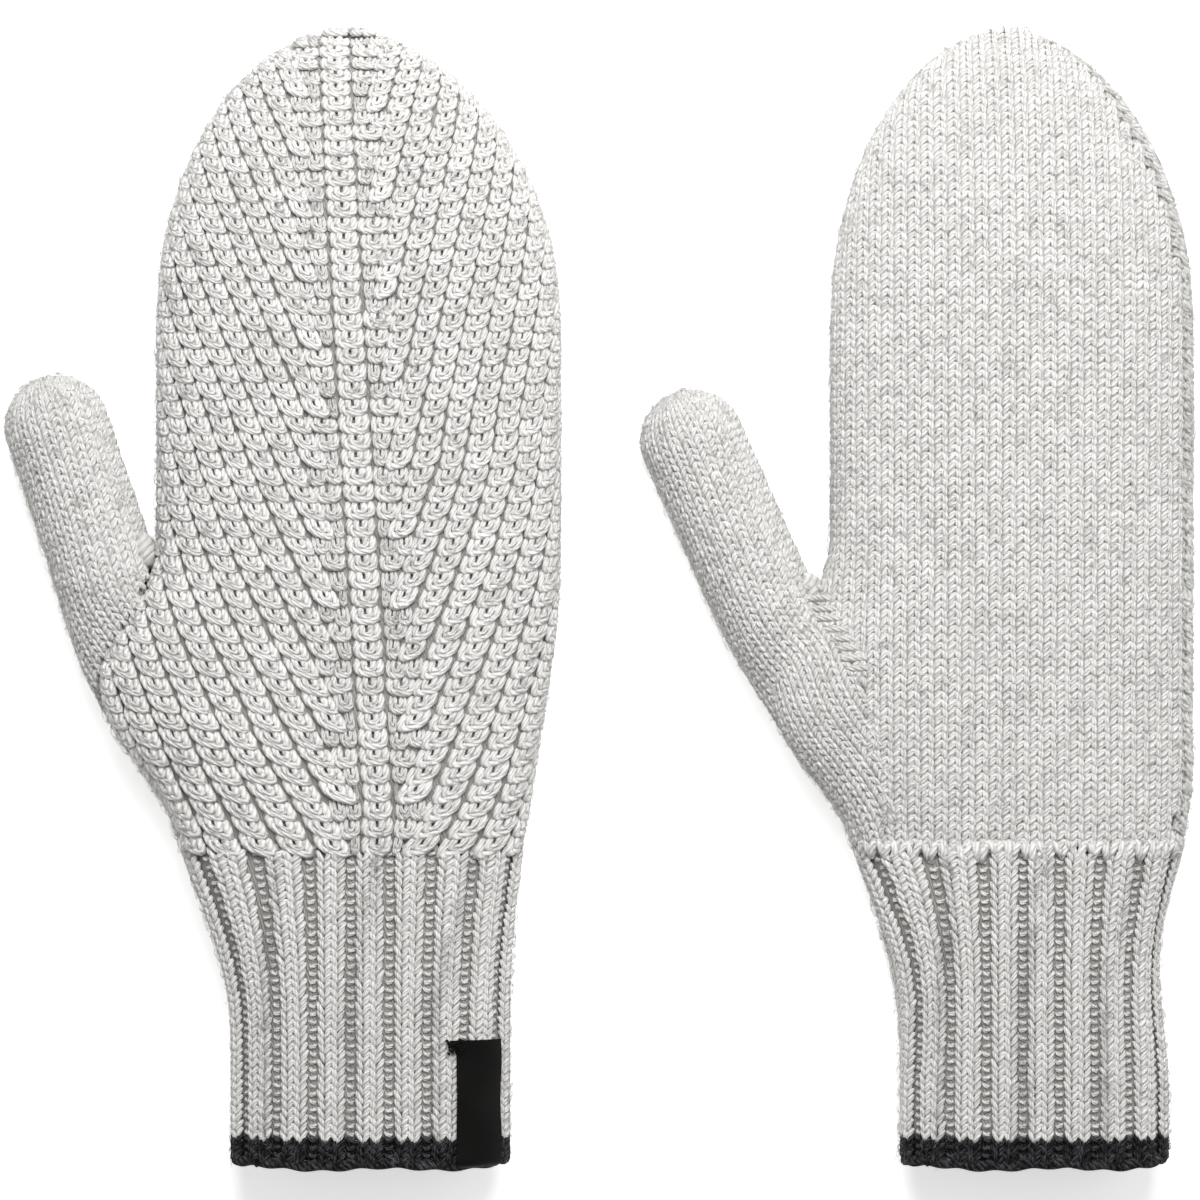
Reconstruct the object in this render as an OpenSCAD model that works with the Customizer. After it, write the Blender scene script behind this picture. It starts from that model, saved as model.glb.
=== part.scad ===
// A pair of knitted mittens lying flat and side by side: the right-hand mitten with the back of
// the hand up, the left-hand mitten with the palm up. Both thumbs point the same way.
// Each mitten is a thick ribbed back panel sewn to a fine plain-knit palm panel, with a plain-knit
// thumb, a ribbed cuff and a dark edge on the cuff. Lengths are in millimetres.

/* [Pair] */
// Distance between the middles of the two cuffs
pair_pitch = 159; // [156:1:200]
// Length of each mitten, from the cuff edge to the fingertips
mitten_len = 276; // [268:1:284]
// Thickness of the hand as it lies, both layers and the room between them
hand_t = 31; // [28:0.5:36]
// Thickness of the cuff as it lies
cuff_t = 30; // [27:0.5:34]

/* [Cuff] */
// Length of the cuff, with its edge and its linking row
cuff_len = 78; // [70:1:82]
// Height of the dark edge at the cuff's mouth
edge_h = 7; // [5:0.5:9]
// Height of the linking row that joins the cuff to the hand
link_h = 2; // [1.5:0.5:3]
// Width of the right-hand mitten's cuff
right_cuff_w = 68; // [62:1:72]
// Width of the left-hand mitten's cuff
left_cuff_w = 65; // [60:1:70]

/* [Hand] */
// Height above the cuff edge of the crease where the fingers fold
knuckle_y = 178; // [174:1:190]
// Height above the cuff edge where the fingertips begin to round
tip_y = 205; // [200:1:215]
// Reach of the right-hand mitten to its thumb side, from the cuff's middle
right_thumb_side = 51.5; // [48:0.5:53]
// Reach of the right-hand mitten to its little-finger side
right_little_side = 46; // [40:0.5:50]
// Reach of the left-hand mitten to its thumb side
left_thumb_side = 49; // [47:0.5:51]
// Reach of the left-hand mitten to its little-finger side
left_little_side = 38.5; // [36:0.5:44]

/* [Thumb] */
// Width of a thumb
thumb_w = 25.4; // [23:0.2:26]
// Thickness of a thumb as it lies
thumb_t = 24; // [22:0.5:26]
// Lean of the right-hand mitten's thumb away from the hand
right_thumb_lean = 18.5; // [16:0.5:22]
// Lean of the left-hand mitten's thumb away from the hand
left_thumb_lean = 24; // [21:0.5:27]
// Length of the right-hand mitten's thumb above its gusset
right_thumb_len = 43; // [38:1:48]
// Length of the left-hand mitten's thumb above its gusset
left_thumb_len = 53; // [48:1:58]
// Gap between the gusset and the thumb that lets the thumb swing
thumb_gap = 3.6; // [3.4:0.1:4.5]

/* [Walls] */
// Thickness of the ribbed back panel
back_wall = 4.5; // [3.5:0.5:5.5]
// Thickness of the plain-knit palm, gusset and thumb
palm_wall = 2.5; // [2:0.25:3.5]
// Thickness of the ribbed cuff
cuff_wall = 4; // [3:0.5:5]
// How far the seams stand proud of the panels
seam_proud = 0.8; // [0.4:0.1:1.2]

/* [Label] */
// Width of the woven label on the right-hand mitten's cuff
label_w = 10.5; // [8:0.5:14]
// Visible height of the label
label_h = 30; // [20:1:36]
// Distance from the cuff's middle to the middle of the label
label_x = 25; // [20:0.5:26]

/* [Hidden] */
RIGHT = 0;
LEFT = 1;
UP = 1;
DOWN = -1;
side_names = ["right", "left"];
piece_names = ["back_hand", "back_fingers", "palm_hand", "palm_fingers", "little_seam_hand",
    "little_seam_fingers", "thumb_seam_hand", "thumb_seam_fingers", "root_seam", "gusset",
    "thumb", "thumb_tip", "cuff", "cuff_edge", "cuff_link"];

wool = "gainsboro";
wool_seam = "silver";
charcoal = "dimgray";
black_satin = "black";

// Plan of each mitten, right-hand first. Every value is a length from the cuff's middle.
cuff_half = [right_cuff_w / 2, left_cuff_w / 2];
thumb_side = [right_thumb_side, left_thumb_side];
little_side = [right_little_side, left_little_side];
thumb_lean = [right_thumb_lean, left_thumb_lean];
thumb_len = [right_thumb_len, left_thumb_len];
// Middle of the thumb's lower end
thumb_root = [[-66, 151], [-65.5, 139.5]];
// Where the hand widens from the cuff, on its little-finger side
flare_from = [45, 50];
flare_to = [150, 100];
// How far the cuff is drawn in on that side
waist = [0, 2.5];
waist_y = 52;
waist_reach = 30;
// Where the hand widens from the cuff on its thumb side, and the swell over the thumb's root
thumb_flare = [35, 105];
swell = 14;
swell_y = [118, 115];
swell_reach = 32;
// How far the middle line drifts to the thumb side at the fingertips, and the tips' height
tip_drift = [-3.3, -1];
tip_lift = 9;
// Exponents of the rounded sections and of the rounded fingertips
round_exp = 0.8;
tip_width_exp = 1.1;
tip_thick_exp = 0.9;

// The hole in the hand's side that the gusset grows out of
hole_from = [97, 92];
hole_to = [147, 136];
hole_steps = 9;
hole_angle = 36;
// Half the width of a side seam, as an angle round the section
seam_angle = 5;
// The shares of the gusset's length at which its root seam starts and ends
root_from = 0.03;
root_to = 0.16;

// Gap left between two bodies where the mitten folds
fold_gap = 0.4;
around = 20;
tip_rise = mitten_len - tip_y;
pair_y = -mitten_len / 2;
// Both thumbs point to -X, so the cuffs lie to the +X side of the pair's middle
thumbs_shift = 24.5;
pair_x = [thumbs_shift - pair_pitch / 2, thumbs_shift + pair_pitch / 2];
thumb_tip_angle = 52;
label_t = 0.6;
label_air = 0.3;
stitch_t = 0.9;

function spow(v, e) = sign(v) * pow(abs(v), e);
function smooth(t) = let (c = max(0, min(1, t))) c * c * (3 - 2 * c);
function bell(t) = abs(t) < 1 ? pow(1 - t * t, 2) : 0;
function ramp(y, from, to) = smooth((y - from) / (to - from));

// Reach of the outline to each side, at height y up to the fingertips
function reach_thumb(m, y) = cuff_half[m]
    + (thumb_side[m] - cuff_half[m]) * ramp(y, thumb_flare[0], thumb_flare[1])
    + swell * bell((y - swell_y[m]) / swell_reach);
function reach_little(m, y) = cuff_half[m]
    + (little_side[m] - cuff_half[m]) * ramp(y, flare_from[m], flare_to[m])
    - waist[m] * bell((y - waist_y) / waist_reach);
function thick(y) = cuff_t + (hand_t - cuff_t) * ramp(y, cuff_len - 20, cuff_len + 30);

// A point of the mitten's skin. s runs up the mitten: up to tip_y it is the height, and above that
// it turns through the rounded fingertips. w is the depth under the skin, th the angle round.
function turn(s) = s > tip_y ? 90 * (s - tip_y) / tip_rise : 0;
function skin(m, s, w, th) =
    let (
        y = min(s, tip_y),
        t = turn(s),
        shrink = cos(t),
        half = (reach_thumb(m, y) + reach_little(m, y)) / 2,
        middle = (reach_little(m, y) - reach_thumb(m, y)) / 2 + tip_drift[m] * pow(sin(t), 2),
        a = (half - w) * pow(shrink, tip_width_exp),
        b = (thick(y) / 2 - w) * pow(shrink, tip_thick_exp),
        lift = pow(shrink, tip_thick_exp),
        mid_z = thick(y) / 2 * lift + tip_lift * (1 - lift)
    )
    [middle + a * spow(cos(th), round_exp),
     y + (tip_rise - w) * sin(t),
     mid_z + b * spow(sin(th), round_exp)];

// Half the angle of the gusset's hole at height s, measured from the thumb side
function hole_half(m, s) =
    let (t = (s - hole_from[m]) / (hole_to[m] - hole_from[m]))
    t <= 0 || t >= 1 ? seam_angle : seam_angle + (hole_angle - seam_angle) * pow(sin(180 * t), 0.7);

// Heights of the rings of points, with the hole's own heights among them
hand_rings = function (m) concat(
    [cuff_len + fold_gap / 2, (cuff_len + hole_from[m]) / 2],
    [for (i = [0 : hole_steps]) hole_from[m] + (hole_to[m] - hole_from[m]) * i / hole_steps],
    [for (i = [1 : 3]) hole_to[m] + (knuckle_y - fold_gap / 2 - hole_to[m]) * i / 3]);
tip_steps = 9;
finger_rings = function (m) concat(
    [for (i = [0 : 2]) knuckle_y + fold_gap / 2 + (tip_y - knuckle_y - fold_gap / 2) * i / 3],
    [for (i = [0 : tip_steps]) tip_y + tip_rise * i / tip_steps]);

// A wall between an outer and an inner grid of points, both [ring][step]. Where closed is true the
// steps run all the way round, and the wall has no side faces.
module wall(outer, inner, closed = false) {
    rings = len(outer);
    steps = len(outer[0]);
    last = closed ? steps : steps - 1;
    points = concat([for (ring = outer) each ring], [for (ring = inner) each ring]);
    function o(i, j) = i * steps + j % steps;
    function n(i, j) = rings * steps + i * steps + j % steps;
    skins = [for (i = [0 : rings - 2], j = [0 : last - 1]) each [
        [o(i, j), o(i + 1, j), o(i, j + 1)], [o(i, j + 1), o(i + 1, j), o(i + 1, j + 1)],
        [n(i, j), n(i, j + 1), n(i + 1, j)], [n(i, j + 1), n(i + 1, j + 1), n(i + 1, j)]]];
    ends = [for (j = [0 : last - 1]) each [
        [o(0, j), o(0, j + 1), n(0, j)], [n(0, j), o(0, j + 1), n(0, j + 1)],
        [o(rings - 1, j), n(rings - 1, j), o(rings - 1, j + 1)],
        [n(rings - 1, j), n(rings - 1, j + 1), o(rings - 1, j + 1)]]];
    sides = closed ? [] : [for (i = [0 : rings - 2]) each [
        [o(i, 0), n(i, 0), o(i + 1, 0)], [n(i, 0), n(i + 1, 0), o(i + 1, 0)],
        [o(i, last), o(i + 1, last), n(i, last)],
        [n(i, last), o(i + 1, last), n(i + 1, last)]]];
    polyhedron(points, concat(skins, ends, sides));
}

function step_list(from, to, steps) = [for (j = [0 : steps]) from + (to - from) * j / steps];

// One panel of the hand, on its upper side or its lower side
module panel(m, rings, side, depth) {
    function grid(w) = [for (s = rings)
        [for (th = step_list(seam_angle, 180 - hole_half(m, s), around)) skin(m, s, w, side * th)]];
    if (side == UP) wall(grid(0), grid(depth));
    else wall(grid(depth), grid(0));
}

// A side seam: a narrow strip between the two panels, round the little-finger side or thumb side
module side_seam(m, rings, middle) {
    function grid(w) = [for (s = rings)
        [for (th = step_list(middle - seam_angle, middle + seam_angle, 2)) skin(m, s, w, th)]];
    wall(grid(-seam_proud), grid(palm_wall));
}

// A ring of knit all round the cuff
module band(m, rings, depth) {
    turns = [for (j = [0 : 2 * around - 1]) 180 * j / around];
    function grid(w) = [for (s = rings) [for (th = turns) skin(m, s, w, th)]];
    wall(grid(0), grid(depth), closed = true);
}

// The thumb's directions: along it, and across it to the hand
function along(m) = [-sin(thumb_lean[m]), cos(thumb_lean[m]), 0];
function across(m) = [cos(thumb_lean[m]), sin(thumb_lean[m]), 0];
function thumb_point(m, v, w, shrink, th) =
    [thumb_root[m][0], thumb_root[m][1], thumb_t / 2]
    + along(m) * v
    + across(m) * (thumb_w / 2 - w) * shrink * cos(th)
    + [0, 0, (thumb_t / 2 - w) * shrink * sin(th)];

// Points round the gusset, from the hole in the hand's side to the thumb's lower end
loop_steps = 2 * (hole_steps + 1);
function hole_point(m, k, w) =
    let (
        upper = k <= hole_steps,
        i = upper ? k : loop_steps - 1 - k,
        s = hole_from[m] + (hole_to[m] - hole_from[m]) * i / hole_steps,
        th = 180 - hole_half(m, s)
    )
    skin(m, s, w, upper ? th : -th);
function gusset_point(m, k, w, share) =
    let (
        hole = hole_point(m, k, w),
        ring = thumb_point(m, -thumb_gap, w, 1, 180 - 180 * (k + 0.5) / (hole_steps + 1))
    )
    hole + (ring - hole) * share;
module gusset_part(m, from, to, steps) {
    shares = step_list(from, to, steps);
    function grid(w) = [for (f = shares) [for (k = [0 : loop_steps - 1]) gusset_point(m, k, w, f)]];
    wall(grid(0), grid(palm_wall), closed = true);
}

// The thumb's rounded end starts one thumb half-width below its tip
module thumb_part(m, from_turn, to_turn, turn_steps, straight_steps) {
    straight = thumb_len[m] - thumb_w / 2;
    rows = concat(
        straight_steps == 0 ? [] : [for (v = step_list(0, straight, straight_steps)) [v, 0]],
        [for (t = step_list(from_turn, to_turn, turn_steps)) if (t > 0) [straight, t]]);
    turns = [for (j = [0 : around - 1]) 360 * j / around];
    function grid(w) = [for (row = rows) [for (th = turns)
        thumb_point(m, row[0] + (thumb_w / 2 - w) * sin(row[1]), w, cos(row[1]), th)]];
    wall(grid(0), grid(palm_wall), closed = true);
}

module back_hand(m) {
    color(wool) panel(m, hand_rings(m), m == RIGHT ? UP : DOWN, back_wall);
}

module back_fingers(m) {
    color(wool) panel(m, finger_rings(m), m == RIGHT ? UP : DOWN, back_wall);
}

module palm_hand(m) {
    color(wool) panel(m, hand_rings(m), m == RIGHT ? DOWN : UP, palm_wall);
}

module palm_fingers(m) {
    color(wool) panel(m, finger_rings(m), m == RIGHT ? DOWN : UP, palm_wall);
}

module little_seam_hand(m) {
    color(wool_seam) side_seam(m, hand_rings(m), 0);
}

module little_seam_fingers(m) {
    color(wool_seam) side_seam(m, finger_rings(m), 0);
}

// The thumb-side seam is in two stretches, below the gusset and above it
module thumb_seam_hand(m) {
    color(wool_seam) {
        side_seam(m, [for (s = hand_rings(m)) if (s <= hole_from[m]) s], 180);
        side_seam(m, [for (s = hand_rings(m)) if (s >= hole_to[m]) s], 180);
    }
}

module thumb_seam_fingers(m) {
    color(wool_seam) side_seam(m, finger_rings(m), 180);
}

module root_seam(m) {
    color(wool_seam) gusset_part(m, root_from, root_to, 1);
}

module gusset(m) {
    color(wool) gusset_part(m, root_to, 1, 4);
}

module thumb(m) {
    color(wool) thumb_part(m, 0, thumb_tip_angle, 4, 5);
}

module thumb_tip(m) {
    color(wool_seam) thumb_part(m, thumb_tip_angle, 90, 3, 0);
}

module cuff(m) {
    color(wool) band(m, step_list(edge_h, cuff_len - link_h - fold_gap / 2, 8), cuff_wall);
}

module cuff_edge(m) {
    color(charcoal) band(m, [0, edge_h / 2, edge_h], cuff_wall);
}

module cuff_link(m) {
    color(wool_seam)
        band(m, [cuff_len - link_h - fold_gap / 2, cuff_len - fold_gap / 2], palm_wall);
}

// Angle round the cuff's section where the skin is at x
function angle_at(x) = acos(pow(x / cuff_half[RIGHT], 1 / round_exp));

// The label folds round the cuff's mouth. Each row of its path is [height, depth under the skin].
module label() {
    angles = step_list(angle_at(label_x - label_w / 2), angle_at(label_x + label_w / 2), 6);
    out_far = -label_air - label_t;
    in_far = cuff_wall + label_air + label_t;
    outer_path = concat([for (y = step_list(label_h, 4, 4)) [y, out_far]],
        [[-label_air - label_t, out_far], [-label_air - label_t, in_far]],
        [[4, in_far], [label_h / 2, in_far]]);
    inner_path = concat([for (y = step_list(label_h, 4, 4)) [y, -label_air]],
        [[-label_air, -label_air], [-label_air, cuff_wall + label_air]],
        [[4, cuff_wall + label_air], [label_h / 2, cuff_wall + label_air]]);
    function lay(path) = [for (p = path)
        [for (th = angles) skin(RIGHT, max(0, p[0]), p[1], th) + [0, min(0, p[0]), 0]]];
    color(black_satin) wall(lay(inner_path), lay(outer_path));
}

// A bar of thread that tacks the label's upper corner to the cuff
module label_stitching() {
    from = angle_at(label_x - label_w / 2);
    angles = [from + 3, from + 0.5];
    rows = [label_h + 0.2, label_h + 2.4];
    function grid(w) = [for (s = rows) [for (th = angles) skin(RIGHT, s, w, th)]];
    color(wool_seam) wall(grid(-stitch_t), grid(0));
}

module piece(m, name) {
    if (name == "back_hand") back_hand(m);
    if (name == "back_fingers") back_fingers(m);
    if (name == "palm_hand") palm_hand(m);
    if (name == "palm_fingers") palm_fingers(m);
    if (name == "little_seam_hand") little_seam_hand(m);
    if (name == "little_seam_fingers") little_seam_fingers(m);
    if (name == "thumb_seam_hand") thumb_seam_hand(m);
    if (name == "thumb_seam_fingers") thumb_seam_fingers(m);
    if (name == "root_seam") root_seam(m);
    if (name == "gusset") gusset(m);
    if (name == "thumb") thumb(m);
    if (name == "thumb_tip") thumb_tip(m);
    if (name == "cuff") cuff(m);
    if (name == "cuff_edge") cuff_edge(m);
    if (name == "cuff_link") cuff_link(m);
}

module lay_down(m) {
    translate([pair_x[m], pair_y, 0]) children();
}

for (m = [RIGHT, LEFT], name = piece_names) {
    lay_down(m) piece(m, name);
}
lay_down(RIGHT) label();
lay_down(RIGHT) label_stitching();
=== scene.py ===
"""A pair of knitted mittens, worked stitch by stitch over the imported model."""

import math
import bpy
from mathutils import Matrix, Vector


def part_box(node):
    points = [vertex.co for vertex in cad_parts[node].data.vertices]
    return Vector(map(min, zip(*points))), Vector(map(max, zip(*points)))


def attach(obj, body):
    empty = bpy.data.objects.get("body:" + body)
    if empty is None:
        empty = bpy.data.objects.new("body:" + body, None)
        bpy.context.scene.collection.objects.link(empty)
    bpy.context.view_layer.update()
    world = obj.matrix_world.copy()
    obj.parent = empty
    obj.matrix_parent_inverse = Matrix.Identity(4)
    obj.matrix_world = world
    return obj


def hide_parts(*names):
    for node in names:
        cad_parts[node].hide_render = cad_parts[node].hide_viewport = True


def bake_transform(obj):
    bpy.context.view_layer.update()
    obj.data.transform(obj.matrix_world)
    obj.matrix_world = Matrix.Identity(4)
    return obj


bl_info = {
    "name": "Knitted Mittens",
    "version": (1, 0, 0),
    "blender": (4, 5, 0),
    "location": "View3D > Sidebar > Mittens",
    "description": "Knits, seams and labels a pair of wool mittens over their CAD model",
    "category": "Object",
}

import bpy
import numpy as np

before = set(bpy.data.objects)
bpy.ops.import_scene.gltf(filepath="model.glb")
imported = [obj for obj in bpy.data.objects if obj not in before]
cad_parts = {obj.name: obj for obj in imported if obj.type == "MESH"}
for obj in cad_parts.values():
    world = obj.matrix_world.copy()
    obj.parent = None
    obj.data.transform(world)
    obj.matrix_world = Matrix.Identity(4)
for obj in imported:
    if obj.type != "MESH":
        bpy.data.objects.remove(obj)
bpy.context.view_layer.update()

MM = 0.001
HANDS = ("right", "left")
FULL_TURN = 2 * math.pi

# Plain knitting: width of a wale and height of a row, in millimetres
WALE = 3.24
ROW = 1.95
# The ribs of the back: climb from one new rib to the next, distance of a new rib from the middle
# one, width of the middle rib, and height of a row as its loops are drawn
RIB_RISE = 15.2
FAN_START = 8.9
CENTRE_WIDE = 7.4
LOOP = 4.2
# Widths of the fan's ribs at heights above the mouth, and heights of its rows up the surface
RIB_PITCHES = (80, 95, 113, 149, 185, 250), (9.0, 8.5, 7.6, 6.9, 6.0, 5.8)
LOOP_ROWS = (80, 190, 230, 280), (4.25, 4.05, 3.75, 3.7)
# The cuff: ribs in a round, height of a row, and width of a rib as its stitches are drawn
CUFF_RIBS = 18
CUFF_ROW = 1.9
CUFF_RIB = 9.2
# Heights above the mouth of the cuff: its rim, its top and the knuckles
RIM = 4.4
WRIST = 80.0
KNUCKLES = 178.0
# The thumb's knitting: height at which its table starts, and how far its end is rounded off
SLEEVE_START = 68.0
SLEEVE_TURN = math.radians(84)
# Stray fibres on each palm or thumb piece, and on each piece of the back
FUZZ = {"plain": 1600, "ribbed": 2400}
# Cloth behind the stitches: depth of its outer and its inner face, and tone; the negative tone
# darkens the cloth as painted shade in the gaps between stitches
PLAIN_CLOTH_SHADED = (-1.65, -3.0, -0.04)
RIBBED_CLOTH_SHADED = (-1.95, -3.3, -0.1)
CUFF_CLOTH_SHADED = (-2.2, -3.8, -0.1)
# Seams: depth of the strand along them, its radius, and the radius of the whip stitches
SEAM_DEPTH = -1.5
SEAM_YARN = 0.9
WHIP_YARN = 0.42

# Lines on each mitten, in millimetres from the middle of its cuff's mouth: the middle rib of the
# back, the fork where the palm parts from the thumb, and the root seam of the thumb on the back
CENTRE_RIB = {"right": ((7.0, 79.7), (-4.2, 266.9)), "left": ((6.0, 79.7), (-3.5, 262.0))}
FORK = {
    "right": ((-31.5, 78.0), (-40.0, 126.0), (-52.6, 154.0)),
    "left": ((-30.0, 78.0), (-38.3, 119.5), (-52.2, 144.0)),
}
# Heights between which the thumb grows out of the back
ROOT = {"right": (117.0, 154.0), "left": (111.0, 144.0)}


def smooth(x):
    """Eases a share from 0 to 1."""
    x = np.clip(x, 0.0, 1.0)
    return x * x * (3 - 2 * x)


def unit(v):
    """Vectors of length one."""
    return v / np.maximum(np.linalg.norm(v, axis=-1, keepdims=True), 1e-9)


def points_of(*names):
    """The corners of these CAD nodes, in millimetres."""
    found = []
    for name in names:
        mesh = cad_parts[name].data
        co = np.zeros(len(mesh.vertices) * 3)
        mesh.vertices.foreach_get("co", co)
        found.append(co.reshape(-1, 3) / MM)
    return np.concatenate(found)


def edges_of(*names):
    """Both ends of every edge of these CAD nodes, in millimetres."""
    low, high = [], []
    for name in names:
        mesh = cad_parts[name].data
        ends = np.zeros(len(mesh.edges) * 2, np.int32)
        mesh.edges.foreach_get("vertices", ends)
        co = points_of(name)[ends.reshape(-1, 2)]
        low.append(co[:, 0])
        high.append(co[:, 1])
    return np.concatenate(low), np.concatenate(high)


# ---------------------------------------------------------------------------------------------
# Surfaces that the knitting is laid on


class Surface:
    """A table of points and outward directions: s runs up the knitting, q runs across it."""

    def tabulate(self, points, s_step, q_first, q_step):
        """Keeps a table of points and works out its outward directions."""
        self.points = points
        self.s_step = s_step
        self.q_first = q_first
        self.q_step = q_step
        across = np.gradient(points, axis=1)
        up = np.gradient(points, axis=0)
        self.normals = unit(np.cross(across, up))

    def at(self, s, q, lift, flip=False):
        """Points at these places, raised by lift along the outward direction."""
        rows, columns = self.points.shape[:2]
        i = np.clip(s / self.s_step, 0, rows - 1.001)
        j = np.clip((q - self.q_first) / self.q_step, 0, columns - 1.001)
        i0, j0 = i.astype(int), j.astype(int)
        fi, fj = (i - i0)[..., None], (j - j0)[..., None]

        def mixed(table):
            low = table[i0, j0] * (1 - fj) + table[i0, j0 + 1] * fj
            high = table[i0 + 1, j0] * (1 - fj) + table[i0 + 1, j0 + 1] * fj
            return low * (1 - fi) + high * fi

        place = mixed(self.points) + unit(mixed(self.normals)) * np.asarray(lift)[..., None]
        if flip:
            middle = np.interp(s, self.s, self.z_middle)
            place[..., 2] = 2 * middle - place[..., 2]
        return place


class Skin(Surface):
    """The outer surface of one mitten without its thumb, from the mouth of the cuff to the tip."""

    POWER = 0.8
    Q_REACH = 130.0

    def __init__(self, hand):
        self.hand = hand
        low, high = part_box(f"{hand}_cuff")
        self.x0 = (low.x + high.x) / 2 / MM
        self.y0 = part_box(f"{hand}_cuff_edge")[0].y / MM
        self.mouth = np.array([self.x0, self.y0, 0.0])
        self.measure()
        self.lay_out()

    def measure(self):
        """Reads the width, thickness and middle of the CAD panels from slices across them."""
        names = ("cuff_edge", "cuff", "cuff_link", "back_hand", "palm_hand")
        names += ("back_fingers", "palm_fingers")
        low, high = edges_of(*[f"{self.hand}_{n}" for n in names])
        tip = high[:, 1].max()
        levels = np.concatenate([np.arange(self.y0 + 0.5, tip - 20, 1.7),
                                 np.arange(tip - 20, tip - 0.1, 0.5)])
        found = []
        for y in levels:
            crossing = (low[:, 1] - y) * (high[:, 1] - y) < 0
            if crossing.sum() < 30:
                continue
            a, b = low[crossing], high[crossing]
            ring = a + (b - a) * ((y - a[:, 1]) / (b[:, 1] - a[:, 1]))[:, None]
            z_low, z_high = ring[:, 2].min(), ring[:, 2].max()
            middle, half = (z_low + z_high) / 2, (z_high - z_low) / 2
            upper = ring[ring[:, 2] >= middle - 0.01]
            right = ring[:, 0].max()
            end = upper[upper[:, 0].argmin()]
            sine = np.clip((end[2] - middle) / half, 0, 1) ** (1 / self.POWER)
            cosine = math.sqrt(max(0.0, 1 - sine * sine))
            width = (right - end[0]) / (1 + cosine**self.POWER)
            found.append((y - self.y0, right - width - self.x0, width, half, middle))
        last = found[-1]
        found.append((tip - self.y0, last[1], last[2] * 0.45, 0.5, last[4]))
        y, middle_x, width, half, middle_z = np.array(found).T
        run = np.hypot(np.diff(y), np.diff(middle_z + half))
        length = np.concatenate([[0], np.cumsum(run)])
        self.s = np.arange(0, length[-1], 1.0)

        def along(values, passes):
            line = np.interp(self.s, length, values)
            for _ in range(passes):
                line[1:-1] = (line[:-2] + 2 * line[1:-1] + line[2:]) / 4
            return line

        self.y = along(y, 2)
        self.x_middle = along(middle_x, 8)
        self.width = along(width, 8)
        self.half = along(half, 4)
        self.z_middle = along(middle_z, 4)

    def lay_out(self):
        """Fills the table, with q measured round the section from the line of the middle rib."""
        turn = np.linspace(0, FULL_TURN, 721)
        cosine, sine = np.cos(turn), np.sin(turn)
        shape_x = np.sign(cosine) * np.abs(cosine) ** self.POWER
        shape_z = np.sign(sine) * np.abs(sine) ** self.POWER
        q = np.arange(-self.Q_REACH, self.Q_REACH + 0.1, 0.5)
        (xa, ya), (xb, yb) = CENTRE_RIB[self.hand]
        self.around = np.zeros(len(self.s))
        self.q_right = np.zeros(len(self.s))
        self.q_left = np.zeros(len(self.s))
        self.x_line = np.zeros(len(self.s))
        table = np.zeros((len(self.s), len(q), 3))
        for i in range(len(self.s)):
            x = self.x_middle[i] + self.width[i] * shape_x
            z = self.z_middle[i] + self.half[i] * shape_z
            run = np.concatenate([[0], np.cumsum(np.hypot(np.diff(x), np.diff(z)))])
            line = xa + (xb - xa) * (self.y[i] - ya) / (yb - ya)
            line = np.clip(line, x.min() * 0.97 + x.max() * 0.03, x.max() * 0.97 + x.min() * 0.03)
            line = line * smooth((self.y[i] - 40) / 50)
            start = np.interp(-line, -x[:361], run[:361])
            places = (start - q) % run[-1]
            table[i, :, 0] = self.x0 + np.interp(places, run, x)
            table[i, :, 1] = self.y0 + self.y[i]
            table[i, :, 2] = np.interp(places, run, z)
            self.around[i] = run[-1]
            self.q_right[i] = start
            self.q_left[i] = start - run[360]
            self.x_line[i] = line
        self.tabulate(table, 1.0, q[0], 0.5)

    def s_of(self, y):
        """How far up the surface this height above the mouth is."""
        return np.interp(y, self.y, self.s)

    def edges(self, s):
        """q of the thumb-side and little-finger-side outlines."""
        return np.interp(s, self.s, self.q_left), np.interp(s, self.s, self.q_right)

    def q_of(self, s, x):
        """q of the point of the upper side that lies x millimetres from the cuff's middle."""
        s, x = np.atleast_1d(s), np.atleast_1d(x)
        out = np.zeros(len(s))
        for k, (one, place) in enumerate(zip(s, x)):
            i = int(np.clip(round(one), 0, len(self.s) - 1))
            q = np.linspace(self.q_left[i], self.q_right[i], 160)
            line = self.at(np.full(160, float(i)), q, np.zeros(160))[:, 0] - self.x0
            out[k] = np.interp(place, line, q)
        return out

    def height(self, x, y):
        """Rise of the skin from its middle plane, negative outside it, and the plane's height."""
        s = self.s_of(y)
        share = np.abs(x - np.interp(s, self.s, self.x_middle)) / np.interp(s, self.s, self.width)
        rise = np.clip(1 - share**2.5, 0, 1) ** 0.4 * np.interp(s, self.s, self.half)
        return np.where(share < 1, rise, -1.0), np.interp(s, self.s, self.z_middle)


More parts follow.
